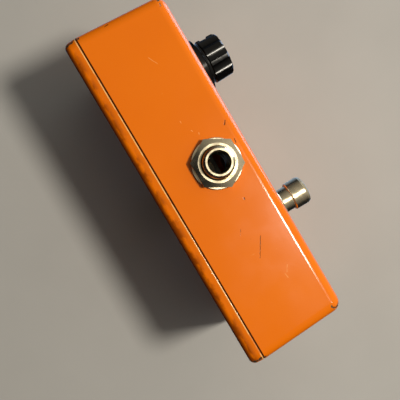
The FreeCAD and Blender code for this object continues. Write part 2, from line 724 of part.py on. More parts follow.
def build_footswitch():
    y = footswitch_y
    bore = fs_stem_radius + running_clearance
    flange_radius = fs_stem_radius + 0.45
    chamber_radius = flange_radius + 0.3
    flange_top = fs_frame_top - running_clearance
    flange_bottom = flange_top - 0.8
    chamber_floor = fs_body_bottom + 2.0
    half_w, half_d = fs_body_width / 2, fs_body_depth / 2

    bushing = thread(fs_thread_radius, fs_frame_top, top_z + fs_thread_height, bore, 0, y)
    write("footswitch_bushing", [bushing])

    outer_w = half_w + fs_ear_thickness
    plate = block(-outer_w, outer_w, y - half_d, y + half_d, fs_body_top, fs_frame_top)
    ears = []
    for side in (-1, 1):
        x0 = side * half_w + (0 if side > 0 else -fs_ear_thickness)
        ears.append(block(x0, x0 + fs_ear_thickness, y - 4.2, y + 4.2, fs_body_bottom + 2.4, fs_body_top))
    frame = fuse_all([plate] + ears)
    frame = frame.cut(cylinder(chamber_radius, fs_body_top - 1, fs_frame_top + 1, 0, y))
    write("footswitch_frame", [frame])

    body = block(-half_w, half_w, y - half_d, y + half_d, fs_body_bottom, fs_body_top)
    upright = [e for e in body.Edges if e.BoundBox.ZLength > 1]
    body = body.makeFillet(0.8, upright).cut(cylinder(chamber_radius, chamber_floor, fs_body_top + 1, 0, y))
    write("footswitch_body", [body])

    terminals = []
    for column in (-1, 0, 1):
        for row in (-1, 1):
            x, ty = column * 7.0, y + row * 3.4
            blade_low = fs_body_bottom - fs_terminal_length
            blade = block(x - 1.2, x + 1.2, ty - 0.3, ty + 0.3, blade_low, fs_body_bottom)
            eye = Part.makeCylinder(0.55, 2, V(x, ty - 1, blade_low + 1.5), V(0, 1, 0))
            terminals.append(blade.cut(eye))
    write("footswitch_terminals", terminals)

    # moving stem and cap
    stem_top = top_z + fs_stem_height
    spigot = fs_stem_radius - 1.0
    spigot_top = stem_top + 0.6 * fs_cap_height
    rod_bottom = chamber_floor + fs_travel + 1.0
    stem = turned(
        [
            (0, rod_bottom), (2.2, rod_bottom), (2.2, flange_bottom), (flange_radius, flange_bottom),
            (flange_radius, flange_top), (fs_stem_radius, flange_top), (fs_stem_radius, stem_top),
            (spigot, stem_top), (spigot, spigot_top), (0, spigot_top),
        ],
        0,
        y,
    )  # fmt: skip
    write("footswitch_plunger", [stem])
    cap_top = stem_top + fs_cap_height
    cap = turned(
        [
            (0, spigot_top), (spigot, spigot_top), (spigot, stem_top), (fs_cap_radius - 0.25, stem_top),
            (fs_cap_radius, stem_top + 0.25), (fs_cap_radius, cap_top - fs_cap_edge),
            (fs_cap_radius - 0.3 * fs_cap_edge, cap_top - 0.3 * fs_cap_edge),
            (fs_cap_radius - fs_cap_edge, cap_top), (0, cap_top),
        ],
        0,
        y,
    )  # fmt: skip
    write("footswitch_cap", [cap])
    gap = 0.1
    spring = make_coil(3.4, fs_spring_wire, chamber_floor + gap, flange_bottom - gap, 5, 0, y)
    write("footswitch_spring", [spring])

    # fasteners
    nut_bore = fs_thread_radius + running_clearance
    base = top_z + fs_washer_thickness
    write("footswitch_top_nut", [hex_nut(fs_nut_flats, nut_bore, base, base + fs_nut_height, 0, y, 15)])
    write("footswitch_washer", [washer(fs_washer_radius, nut_bore, top_z, base, 0, y)])
    lower_top = ceiling_z - lock_washer_thickness
    lock_washer = toothed_washer(fs_nut_flats / 2 - 0.1, nut_bore, lower_top, ceiling_z, 0, y, 14)
    write("footswitch_lock_washer", [lock_washer])
    lower = hex_nut(fs_nut_flats, nut_bore, lower_top - fs_lower_nut_height, lower_top, 0, y, 0)
    write("footswitch_lower_nut", [lower])


# ---------------------------------------------------------------- jacks

# In a jack's local frame Z points out of the socket, X up the case's side, Y towards the contact stack.
wall_depth = side_wall * math.cos(math.radians(draft_angle))
jack_washer_back = -wall_depth - lock_washer_thickness
jack_plate_back = jack_washer_back - jack_plate_thickness
arm_inner = jack_plate_half - jack_arm_thickness
arm_end = jack_plate_back - jack_arm_length
stack_front = jack_plate_back - 1.2
leaf_root = arm_end


def make_jack_bushing():
    """Threaded sleeve, staked into the frame behind the wall."""
    sleeve = thread(jack_thread_radius, jack_plate_back, jack_reach, jack_bore_radius, end_chamfer=0.65)
    funnel = [(0, jack_reach - jack_mouth_depth), (jack_bore_radius, jack_reach - jack_mouth_depth)]
    funnel += [(jack_mouth_radius, jack_reach), (jack_mouth_radius, jack_reach + 1), (0, jack_reach + 1)]
    mouth = turned(funnel)
    stake = cylinder(jack_thread_radius + jack_stake, jack_plate_back - 0.9, jack_plate_back)
    stake = stake.cut(cylinder(jack_bore_radius, jack_plate_back - 2, jack_plate_back + 1))
    return fuse_all([sleeve, stake]).cut(mouth)


def make_jack_frame():
    """Plate behind the wall, an arm that carries the contacts, and the sleeve lug."""
    half = jack_plate_half
    plate = block(-half, half, -half, half, jack_plate_back, jack_washer_back)
    arm = block(-3.6, 3.6, arm_inner, half, arm_end, jack_plate_back + 0.1)
    lug = block(-8.6, -3.5, arm_inner, half, jack_plate_back - 3.4, jack_plate_back - 1.2)
    eye = Part.makeCylinder(0.55, 4, V(-7.6, arm_inner - 1, jack_plate_back - 2.3), V(0, 1, 0))
    frame = fuse_all([plate, arm, lug]).cut(eye)
    return frame.cut(cylinder(jack_thread_radius, jack_plate_back - 1, jack_washer_back + 1))


def make_wafer(y0):
    """One insulating wafer of the contact stack."""
    return block(-3.4, 3.4, y0, y0 + jack_wafer_thickness, arm_end, stack_front)


def make_terminal(y0, lug_back):
    """Clamped strip of a contact, with a solder lug below the stack."""
    half = jack_leaf_width / 2
    strip = block(-half, half, y0, y0 + jack_leaf_thickness, arm_end + jack_leaf_gap, stack_front)
    lug = block(-9.0, 0, y0, y0 + jack_leaf_thickness, lug_back, lug_back + 2.2)
    eye = Part.makeCylinder(0.55, 4, V(-8.0, y0 - 1, lug_back + 1.1), V(0, 1, 0))
    return fuse_all([strip, lug]).cut(eye)


def make_leaf(y0, straight, apex_z, apex_y):
    """Moving leaf: a straight run, a slope towards the plug, and a bent contact end."""
    t, w = jack_leaf_thickness, jack_leaf_width
    tip_z, tip_y = apex_z - 1.8, apex_y + 1.6
    centre = [(leaf_root, y0 + t / 2), (straight, y0 + t / 2), (apex_z, apex_y), (tip_z, tip_y)]

    def offset(distance):
        out = []
        for i, (z, y) in enumerate(centre):
            directions = []
            if i > 0:
                directions.append((z - centre[i - 1][0], y - centre[i - 1][1]))
            if i < len(centre) - 1:
                directions.append((centre[i + 1][0] - z, centre[i + 1][1] - y))
            normals = [(-b / math.hypot(a, b), a / math.hypot(a, b)) for a, b in directions]
            nz, ny = sum(n[0] for n in normals), sum(n[1] for n in normals)
            length = math.hypot(nz, ny)
            nz, ny = nz / length, ny / length
            mitre = 1 / max(0.4, nz * normals[0][0] + ny * normals[0][1])
            out.append((z + nz * distance * mitre, y + ny * distance * mitre))
        return out

    loop = offset(t / 2) + offset(-t / 2)[::-1]
    return face_of([(-w / 2, y, z) for z, y in loop]).extrude(V(w, 0, 0))


def build_jacks():
    sides = {"output": -1, "input": 1}
    for name, side in sides.items():
        write(f"{name}_jack_bushing", [at_jack(make_jack_bushing(), side)])
    write("jack_frames", [at_jack(make_jack_frame(), side) for side in sides.values()])

    wafer_0 = jack_plate_half
    leaf_0 = wafer_0 + jack_wafer_thickness
    wafer_1 = leaf_0 + jack_leaf_thickness
    leaf_1 = wafer_1 + jack_wafer_thickness
    wafer_2 = leaf_1 + jack_leaf_thickness
    stack_pitch = {"output": [wafer_0, wafer_1], "input": [wafer_0, wafer_1, wafer_2]}
    wafers = [at_jack(make_wafer(y0), sides[name]) for name, places in stack_pitch.items() for y0 in places]
    write("jack_insulators", wafers)

    back_lug, front_lug = arm_end + 0.6, stack_front - 2.4
    terminals = [
        at_jack(make_terminal(leaf_0, back_lug), sides["output"]),
        at_jack(make_terminal(leaf_0, front_lug), sides["input"]),
        at_jack(make_terminal(leaf_1, back_lug), sides["input"]),
    ]
    write("jack_terminals", terminals)

    tip_apex_z, tip_apex_y = -22.0, 2.1
    ring_apex_z, ring_apex_y = -16.6, 3.1
    write("output_tip_spring", [at_jack(make_leaf(leaf_0, -17.0, tip_apex_z, tip_apex_y), sides["output"])])
    write("input_tip_spring", [at_jack(make_leaf(leaf_1, -18.2, tip_apex_z, tip_apex_y), sides["input"])])
    ring_spring = make_leaf(leaf_0, leaf_root - 0.6, ring_apex_z, ring_apex_y)
    write("input_ring_spring", [at_jack(ring_spring, sides["input"])])

    nut_bore = jack_thread_radius + running_clearance
    base = jack_washer_thickness
    nuts = []
    for side, turn in ((-1, 31), (1, 12)):
        nut = hex_nut(jack_nut_flats, nut_bore, base, base + jack_nut_height, turn=turn, rim=jack_nut_rim)
        nuts.append(at_jack(nut, side))
    write("jack_nuts", nuts)
    write("jack_washers", [at_jack(washer(jack_washer_radius, nut_bore, 0, base), side) for side in (-1, 1)])
    lock = toothed_washer(6.7, nut_bore, jack_washer_back, -wall_depth, teeth=10)
    write("jack_lock_washers", [at_jack(lock, side) for side in (-1, 1)])


# ---------------------------------------------------------------- circuit board

def make_dip8(x, y):
    """Eight-pin chip under the board, pins up."""
    stand, height = 0.7, 3.3
    z1 = board_under_z - stand
    body = block(x - 4.8, x + 4.8, y - 3.2, y + 3.2, z1 - height, z1)
    notch = cylinder(0.9, z1 - height - 1, z1 - height + 0.5, x - 4.8, y)
    pins = []
    for i in range(4):
        px = x + 2.54 * (i - 1.5)
        for side in (-1, 1):
            py = y + side * 3.2
            near, far = sorted((py, py + side * 0.7))
            shoulder = block(px - 0.6, px + 0.6, near, far, z1 - 1.9, z1 - 1.5)
            leg_y = py + side * 0.5
            leg = block(px - 0.3, px + 0.3, leg_y - 0.2, leg_y + 0.2, z1 - 1.9, board_under_z)
            pins.append(shoulder.fuse(leg))
    return fuse_all([body.cut(notch)] + pins)


def make_to92(x, y, turn):
    """Three-legged transistor with a flat front."""
    stand, height = 2.0, 4.8
    z1 = board_under_z - stand
    body = cylinder(2.4, z1 - height, z1).cut(block(-3, 3, -3, -1.3, z1 - height, z1))
    legs = [block(i * 1.27 - 0.22, i * 1.27 + 0.22, -0.2, 0.2, z1, board_under_z) for i in (-1, 0, 1)]
    part = fuse_all([body] + legs)
    part.rotate(V(0, 0, 0), V(0, 0, 1), turn)
    part.translate(V(x, y, 0))
    return part


def make_electrolytic(x, y, radius, height):
    """Radial capacitor standing on the board, with its crimp groove and vent cross."""
    z1 = board_under_z - 0.3
    z0 = z1 - height
    profile = [(0, z0), (radius - 0.4, z0), (radius, z0 + 0.4), (radius, z1 - 1.7), (radius - 0.3, z1 - 1.4),
               (radius, z1 - 1.1), (radius, z1), (0, z1)]  # fmt: skip
    can = turned(profile)
    vent = [block(-0.7 * radius, 0.7 * radius, -0.12, 0.12, z0 - 1, z0 + 0.15)]
    vent.append(block(-0.12, 0.12, -0.7 * radius, 0.7 * radius, z0 - 1, z0 + 0.15))
    legs = [block(s * 1.2 - 0.25, s * 1.2 + 0.25, -0.25, 0.25, z1, board_under_z) for s in (-1, 1)]
    part = fuse_all([cut_all(can, vent)] + legs)
    part.translate(V(x, y, 0))
    return part


def make_film_capacitor(x, y, turn):
    """Dipped film capacitor: a rounded slab on two legs."""
    z1 = board_under_z - 0.8
    slab = block(-3.6, 3.6, -1.3, 1.3, z1 - 6.0, z1)
    slab = slab.makeFillet(0.9, slab.Edges)
    legs = [block(s * 2.5 - 0.25, s * 2.5 + 0.25, -0.25, 0.25, z1 - 0.6, board_under_z) for s in (-1, 1)]
    part = fuse_all([slab] + legs)
    part.rotate(V(0, 0, 0), V(0, 0, 1), turn)
    part.translate(V(x, y, 0))
    return part


def make_axial(x, y, turn, radius, length, bulge, lead=0.28):
    """Resistor or diode lying on the board, its leads bent up into it."""
    reach = length / 2 + 1.6
    z = board_under_z - radius - bulge - 0.2
    half = length / 2
    profile = [(0, -half), (radius, -half), (radius + bulge, -half + 0.4), (radius + bulge, -half + 1.1),
               (radius, -half + 1.5), (radius, half - 1.5), (radius + bulge, half - 1.1),
               (radius + bulge, half - 0.4), (radius, half), (0, half)]  # fmt: skip
    body = turned(profile)
    body.rotate(V(0, 0, 0), V(0, 1, 0), 90)
    leads = []
    for side in (-1, 1):
        x0, x1 = sorted((side * (half - 0.1), side * reach))
        leads.append(block(x0, x1, -lead, lead, -lead, lead))
        px = side * (reach - lead)
        leads.append(block(px - lead, px + lead, -lead, lead, -lead, board_under_z - z))
    part = fuse_all([body] + leads)
    part.rotate(V(0, 0, 0), V(0, 0, 1), turn)
    part.translate(V(x, y, z))
    return part


trimmer_x, trimmer_y = 19.5, board_y - 9.0
trimmer_half = 4.6
trimmer_rotor_radius = 2.8
trimmer_top = board_under_z - 0.4
trimmer_face = trimmer_top - 4.2


def build_board():
    half = board_width / 2
    y0, y1 = board_y - board_depth / 2, board_y + board_depth / 2
    board = block(-half, half, y0, y1, board_under_z, board_top_z)
    upright = [e for e in board.Edges if e.BoundBox.ZLength > 1]
    board = board.makeFillet(1.5, upright)
    holes = [
        cylinder(0.75, board_under_z - 1, board_top_z + 1, i * 5.0, pot_y - pot_can_radius - 1.85)
        for i in (-1, 0, 1)
    ]
    write("circuit_board", [cut_all(board, holes)])
    pad = cylinder(9.5, board_top_z, pot_can_bottom, 0, pot_y)
    write("board_foam_pad", [pad])

    chips = [make_dip8(x, board_y + 9.0) for x in (-17.0, -4.0, 9.0)]
    write("op_amps", chips)
    row = [make_to92(x, board_y + 1.5, 0) for x in (-21.0, -12.0, -3.0, 6.0)]
    write("transistors", row + [make_to92(20.5, board_y + 10.0, 90)])
    edge_row = y0 + 4.5
    tall = [(20.6, board_y + 1.0, 3.1, 8.0), (-22.5, edge_row, 2.5, 7.0), (-15.5, edge_row, 2.5, 7.0)]
    write("electrolytic_capacitors", [make_electrolytic(*place) for place in tall])
    films = [make_film_capacitor(x, edge_row + 0.5, 90) for x in (-8.5, -4.0, 0.5, 5.0, 9.5)]
    write("film_capacitors", films)
    places = [(x, y0 + 9.9, 0) for x in (-19.0, -8.0, 3.0)]
    places += [(x, y1 - 1.6, 0) for x in (-19.5, 20.5)]
    places += [(x, board_y + 0.2, 90) for x in (-16.5, -7.5, 1.5, 10.5)]
    places += [(15.6, board_y + 2.5, 90)]
    write("resistors", [make_axial(x, y, turn, 1.05, 6.2, 0.15) for x, y, turn in places])
    write("diodes", [make_axial(x, y, 0, 0.9, 3.6, 0.05) for x, y in ((11.2, y0 + 9.9), (19.5, y0 + 12.7))])


def build_trimmer():
    """Trimmer pot: a square base on three legs, and the slotted rotor that turns in its face."""
    half, leg_half = trimmer_half, 0.3
    well_top = trimmer_face + 1.6
    base = block(-half, half, -half, half, trimmer_face, trimmer_top)
    base = base.makeFillet(0.8, [e for e in base.Edges if e.BoundBox.ZLength > 1])
    base = base.cut(cylinder(trimmer_rotor_radius + running_clearance, trimmer_face - 1, well_top))
    legs = []
    for x, y in ((-2.5, 2.5), (2.5, 2.5), (0, -2.5)):
        legs.append(block(x - leg_half, x + leg_half, y - leg_half, y + leg_half, trimmer_top, board_under_z))
    base = fuse_all([base] + legs)
    rotor = cylinder(trimmer_rotor_radius, trimmer_face - 0.3, well_top - running_clearance)
    slot = block(-2.2, 2.2, -0.35, 0.35, trimmer_face - 1, trimmer_face + 0.5)
    slot.rotate(V(0, 0, 0), V(0, 0, 1), 30)
    rotor = rotor.cut(slot)
    for shape in (base, rotor):
        shape.translate(V(trimmer_x, trimmer_y, 0))
    write("trimmer_base", [base])
    write("trimmer_rotor", [rotor])


# ---------------------------------------------------------------- battery

battery_z0 = sheet_top_z + battery_clearance
battery_z = battery_z0 + battery_width / 2
battery_end = battery_x + battery_length / 2


def build_battery():
    x0, x1 = battery_x - battery_length / 2, battery_end
    y0, y1 = battery_y - battery_thickness / 2, battery_y + battery_thickness / 2
    shell = block(x0, x1, y0, y1, battery_z0, battery_z0 + battery_width)
    long_edges = [e for e in shell.Edges if e.BoundBox.XLength > battery_length - 1]
    shell = shell.makeFillet(2.0, long_edges)
    write("battery", [shell])

    def along_x(profile, z):
        part = turned(profile)
        part.rotate(V(0, 0, 0), V(0, 1, 0), 90)
        part.translate(V(x1, battery_y, z))
        return part

    low, high = battery_z - battery_stud_pitch / 2, battery_z + battery_stud_pitch / 2
    stud = [(0, 0), (3.4, 0), (3.4, 0.4), (2.6, 0.4), (2.6, 1.4), (2.9, 1.8), (2.6, 2.3), (0, 2.3)]
    socket = [(0, 0), (4.2, 0), (4.2, 0.4), (3.8, 0.4), (4.1, 2.1), (3.7, 2.1), (3.4, 0.6), (0, 0.6)]
    write("battery_terminals", [along_x(stud, high), along_x(socket, low)])

    # snap: a strip over both terminals, hollowed for them, with its own stud and socket
    gap = 0.1
    strip_x = x1 + 2.3 + gap
    half_y = snap_half_width
    half_z = snap_half_length
    strip = block(0, snap_thickness, -half_y, half_y, -half_z, half_z)
    strip.translate(V(strip_x, battery_y, battery_z))
    strip = strip.makeFillet(1.0, [e for e in strip.Edges if e.BoundBox.XLength > 1])
    write("battery_snap", [strip])

    def snap_part(profile, z):
        part = turned(profile)
        part.rotate(V(0, 0, 0), V(0, 1, 0), -90)
        part.translate(V(strip_x, battery_y, z))
        return part

    over_stud = [(2.95 + gap, 0), (3.9, 0), (3.9, 1.6), (3.2, 1.6), (2.95 + gap, 1.2)]
    in_socket = [(0, 0), (2.9, 0), (2.9, 0.3), (2.5, 0.5), (2.6, 1.5), (2.3, 1.6), (0, 1.6)]
    write("snap_contacts", [snap_part(over_stud, high), snap_part(in_socket, low)])


# ---------------------------------------------------------------- wires

def jack_point(side, up, across, out):
    """A point given in a jack's local frame."""
    return tuple(jack_frame_of(side).multVec(V(up, across, out)))


def build_wires():
    edge_y = board_y - board_depth / 2 + 1.2
    lead_x = battery_end + 2.4 + snap_thickness / 2
    lead_y = battery_y + snap_half_width
    red = [
        (lead_x, lead_y, 7.2), (lead_x, lead_y + 10, 7.2), (23.0, 6.0, 7.2),
        (23.0, edge_y, 7.2), (23.0, edge_y, board_under_z),
    ]  # fmt: skip
    write("battery_lead_red", [wire_along(red, battery_wire_radius)])
    leaf_mid = jack_plate_half + jack_wafer_thickness + jack_leaf_thickness / 2
    leaf_pitch = jack_wafer_thickness + jack_leaf_thickness
    lug = jack_point(1, -9.0, leaf_mid, stack_front - 1.3)
    black = [
        (lead_x, lead_y, 17.0), (lead_x, lead_y + 9, 17.0), (lug[0], lug[1] - 3, 10.0),
        (lug[0], lug[1], lug[2] - 4), lug,
    ]  # fmt: skip
    write("battery_lead_black", [wire_along(black, battery_wire_radius)])

    row_y = footswitch_y + 3.4 + 0.3
    pin_z = fs_body_bottom - fs_terminal_length + 2.6
    output_tip = jack_point(-1, -9.0, leaf_mid, arm_end + 1.7)
    input_tip = jack_point(1, -9.0, leaf_mid + leaf_pitch, arm_end + 1.7)
    sleeve = jack_point(-1, -8.6, jack_plate_half - 0.4, jack_plate_back - 2.3)
    wires = [
        [output_tip, (output_tip[0], output_tip[1], 7.0), (-7.0, row_y + 6, pin_z), (-7.0, row_y, pin_z)],
        [input_tip, (input_tip[0], input_tip[1], 9.0), (7.0, row_y + 5, pin_z), (7.0, row_y, pin_z)],
        [(-1.7, edge_y, board_under_z), (-1.7, edge_y, 6.6), (0, row_y + 6, pin_z), (0, row_y, pin_z)],
        [sleeve, (sleeve[0], sleeve[1], 8.0), (-21.0, edge_y, 8.0), (-21.0, edge_y, board_under_z)],
    ]
    write("signal_wires", [wire_along(points, wire_radius) for points in wires])


def main():
    os.makedirs("parts", exist_ok=True)
    build_case()
    build_potentiometer()
    build_knob()
    build_footswitch()
    build_jacks()
    build_board()
    build_trimmer()
    build_battery()
    build_wires()


main()
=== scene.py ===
"""Looks of the guitar effects pedal: materials, small details, camera, lights and stage."""

import bpy
from mathutils import Matrix, Vector


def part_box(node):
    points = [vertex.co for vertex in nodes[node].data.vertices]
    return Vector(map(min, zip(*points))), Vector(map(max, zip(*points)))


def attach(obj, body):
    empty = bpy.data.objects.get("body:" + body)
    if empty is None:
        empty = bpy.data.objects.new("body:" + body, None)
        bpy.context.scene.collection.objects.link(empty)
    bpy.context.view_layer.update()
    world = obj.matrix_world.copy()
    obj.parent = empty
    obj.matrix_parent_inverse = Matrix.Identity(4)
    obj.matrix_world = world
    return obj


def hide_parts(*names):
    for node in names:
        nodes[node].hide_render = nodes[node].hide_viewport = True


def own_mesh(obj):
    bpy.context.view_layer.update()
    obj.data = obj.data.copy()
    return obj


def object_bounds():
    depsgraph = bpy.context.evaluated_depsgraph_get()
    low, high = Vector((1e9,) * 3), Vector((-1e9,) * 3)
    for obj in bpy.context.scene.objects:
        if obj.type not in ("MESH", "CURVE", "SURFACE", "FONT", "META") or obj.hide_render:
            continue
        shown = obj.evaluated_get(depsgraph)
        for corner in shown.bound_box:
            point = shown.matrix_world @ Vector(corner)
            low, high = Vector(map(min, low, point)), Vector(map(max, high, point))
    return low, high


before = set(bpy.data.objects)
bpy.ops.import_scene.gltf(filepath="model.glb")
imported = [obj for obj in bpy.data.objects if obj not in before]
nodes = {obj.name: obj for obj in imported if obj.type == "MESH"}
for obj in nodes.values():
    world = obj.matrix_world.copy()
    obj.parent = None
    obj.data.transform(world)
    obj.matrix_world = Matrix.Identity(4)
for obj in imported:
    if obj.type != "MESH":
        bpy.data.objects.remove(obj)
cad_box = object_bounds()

MM = 0.001


def mm_box(node):
    """A CAD node's lowest and highest corners at rest, in millimetres."""
    low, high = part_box(node)
    return Vector(low) / MM, Vector(high) / MM


# ---------------------------------------------------------------- node materials


class Surface:
    """A node material. Its coordinates are the row frame's, in millimetres."""

    def __init__(self, name):
        self.material = bpy.data.materials.new(name)
        self.material.use_nodes = True
        self.tree = self.material.node_tree
        self.shader = self.tree.nodes["Principled BSDF"]
        metres = self.tree.nodes.new("ShaderNodeTexCoord").outputs["Object"]
        self.place = self.vector("SCALE", metres, scale=1 / MM)

    def link(self, source, socket):
        if isinstance(source, bpy.types.NodeSocket):
            self.tree.links.new(source, socket)
        else:
            socket.default_value = source

    def math(self, operation, *values, clamp=False):
        node = self.tree.nodes.new("ShaderNodeMath")
        node.operation = operation
        node.use_clamp = clamp
        for value, socket in zip(values, node.inputs):
            self.link(value, socket)
        return node.outputs[0]

    def vector(self, operation, *values, scale=None):
        node = self.tree.nodes.new("ShaderNodeVectorMath")
        node.operation = operation
        for value, socket in zip(values, node.inputs):
            self.link(value, socket)
        if scale is not None:
            self.link(scale, node.inputs["Scale"])
        scalar = operation in ("DOT_PRODUCT", "LENGTH", "DISTANCE")
        return node.outputs["Value" if scalar else "Vector"]

    def axis(self, letter, place=None):
        node = self.tree.nodes.new("ShaderNodeSeparateXYZ")
        self.link(place or self.place, node.inputs[0])
        return node.outputs[letter]

    def combine(self, x, y, z):
        node = self.tree.nodes.new("ShaderNodeCombineXYZ")
        for value, socket in zip((x, y, z), node.inputs):
            self.link(value, socket)
        return node.outputs[0]

    def noise(self, size, detail=3.0, place=None, stretch=None):
        """Noise whose features are about size millimetres, from 0 to 1."""
        where = place or self.place
        if stretch:
            where = self.vector("MULTIPLY", where, stretch)
        node = self.tree.nodes.new("ShaderNodeTexNoise")
        self.link(where, node.inputs["Vector"])
        node.inputs["Scale"].default_value = 1 / size
        node.inputs["Detail"].default_value = detail
        return node.outputs["Fac"]

    def step(self, value, start, end, low=0.0, high=1.0):
        """low below start, high above end, smooth between."""
        node = self.tree.nodes.new("ShaderNodeMapRange")
        node.interpolation_type = "SMOOTHSTEP"
        for source, socket in zip((value, start, end, low, high), node.inputs):
            self.link(source, socket)
        return node.outputs[0]

    def mix(self, factor, a, b):
        """a where factor is 0, b where it is 1. The colours' sockets share names, so they go by number."""
        node = self.tree.nodes.new("ShaderNodeMix")
        node.data_type = "RGBA"
        self.link(factor, node.inputs["Factor"])
        self.link(a, node.inputs[6])
        self.link(b, node.inputs[7])
        return node.outputs[2]

    def near(self, start, end, reach, place=None, soft=0.5):
        """1 within reach millimetres of the line from start to end, falling to 0 outside."""
        start, end = Vector(start), Vector(end)
        run = end - start
        offset = self.vector("SUBTRACT", place or self.place, tuple(start))
        if run.length > 0:
            along = self.vector("DOT_PRODUCT", offset, tuple(run / run.length_squared))
            along = self.math("MULTIPLY", along, 1.0, clamp=True)
            offset = self.vector("SUBTRACT", offset, self.vector("SCALE", tuple(run), scale=along))
        return self.step(self.vector("LENGTH", offset), reach * (1 - soft), reach, 1.0, 0.0)

    def grid(self, letter, per_mm):
        """Distance from the middle of each repeat along an axis, from 0 to 0.5."""
        repeat = self.math("FRACT", self.math("MULTIPLY", self.axis(letter), per_mm))
        return self.math("ABSOLUTE", self.math("SUBTRACT", repeat, 0.5))

    def most(self, *masks):
        result = masks[0]
        for mask in masks[1:]:
            result = self.math("MAXIMUM", result, mask)
        return result

    def bump(self, height, depth, below=None):
        """Surface relief of depth millimetres."""
        node = self.tree.nodes.new("ShaderNodeBump")
        node.inputs["Distance"].default_value = depth * MM
        self.link(height, node.inputs["Height"])
        if below:
            self.link(below, node.inputs["Normal"])
        return node.outputs[0]

    def set(self, **values):
        """Fills the shader's inputs, named in lower case with underscores, and returns the material."""
        for name, value in values.items():
            self.link(value, self.shader.inputs[name.replace("_", " ").title()])
        return self.material


def rgb(red, green, blue):
    """A colour given as screen values from 0 to 255."""
    def linear(value):
        value /= 255
        return value / 12.92 if value <= 0.04045 else ((value + 0.055) / 1.055) ** 2.4

    return (linear(red), linear(green), linear(blue), 1.0)


def use(material, *names):
    """Gives CAD nodes a material."""
    for name in names:
        for slot in nodes[name].material_slots:
            slot.link = "OBJECT"
            slot.material = material


case_low, case_high = mm_box("enclosure")
seam = case_low.z


